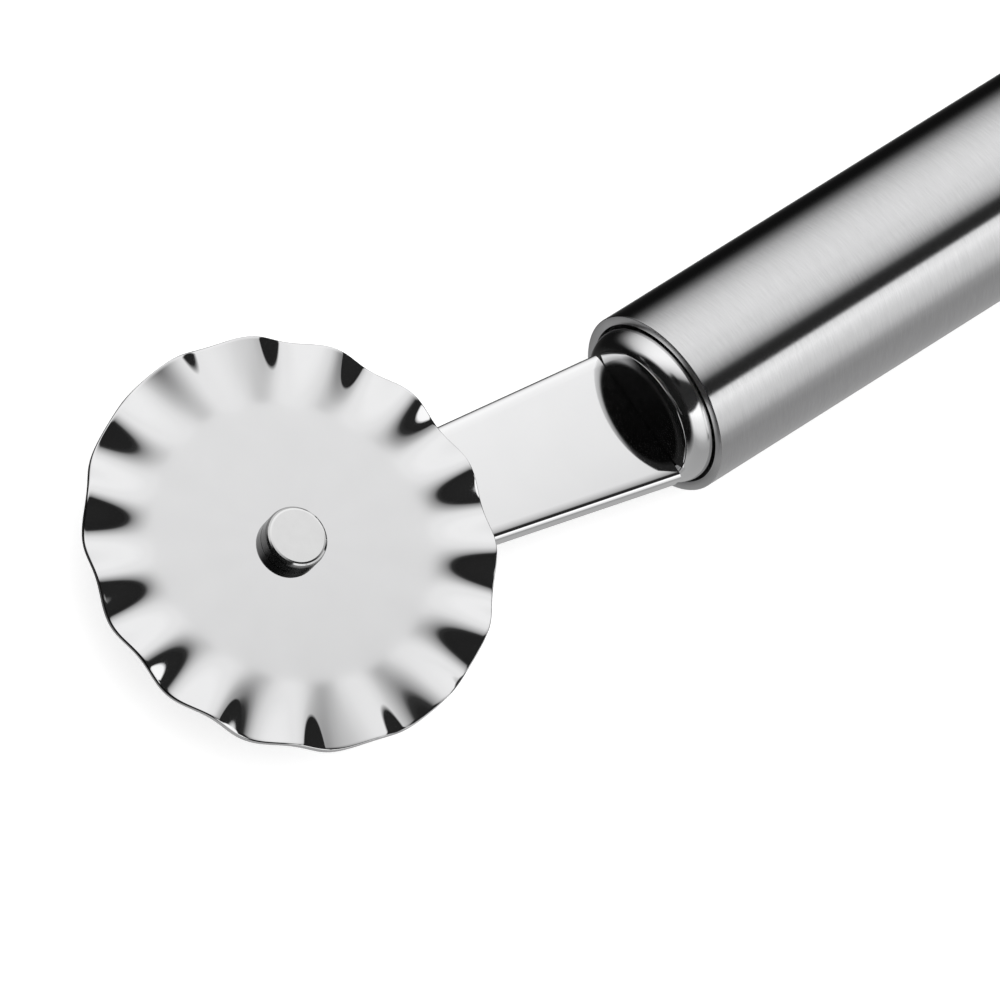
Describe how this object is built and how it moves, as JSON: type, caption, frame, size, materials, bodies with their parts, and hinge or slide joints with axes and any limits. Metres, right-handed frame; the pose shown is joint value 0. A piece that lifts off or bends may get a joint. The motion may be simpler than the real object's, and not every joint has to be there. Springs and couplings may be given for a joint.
{
  "type": "pastry wheel",
  "caption": "Hand pastry wheel with a fluted cutting disc on a riveted flat arm, a round tube handle with a polished collar, and a wire loop for hanging.",
  "frame": {"origin": "on the handle's axis, in the plane of the tube's front end", "axes": "+X along the handle towards the hanging loop, +Z along the wheel's axle towards the side that shows the rivet's flat head"},
  "size_m": [0.2004, 0.04, 0.0181],
  "materials": {
    "polished_steel": "mirror-polished stainless steel",
    "satin_steel": "stainless steel brushed round the tube",
    "bush_bronze": "plain turned bearing bronze",
    "seal_rubber": "black silicone rubber",
    "holder_nylon": "moulded glass-filled nylon"
  },
  "bodies": {
    "handle": {"axle_rivet": "polished_steel", "spacer_washer": "polished_steel", "rivet_washer": "polished_steel", "arm_blade": "polished_steel", "collar_ring": "polished_steel", "socket_disc": "polished_steel", "collar_seal": "seal_rubber", "handle_tube": "satin_steel", "tang_holder": "holder_nylon", "tang_pins": "polished_steel", "end_cap": "polished_steel", "tail_seal": "seal_rubber", "tail_plug": "holder_nylon", "hanging_loop": "polished_steel"},
    "wheel": {"fluted_wheel": "polished_steel", "wheel_bush": "bush_bronze"}
  },
  "joints": [
    {"name": "wheel_spin", "type": "hinge", "parent": "handle", "child": "wheel", "pos_m": [-0.0414, 0.0066, 0.00217], "axis": [0, 0, 1], "continuous": true}
  ]
}
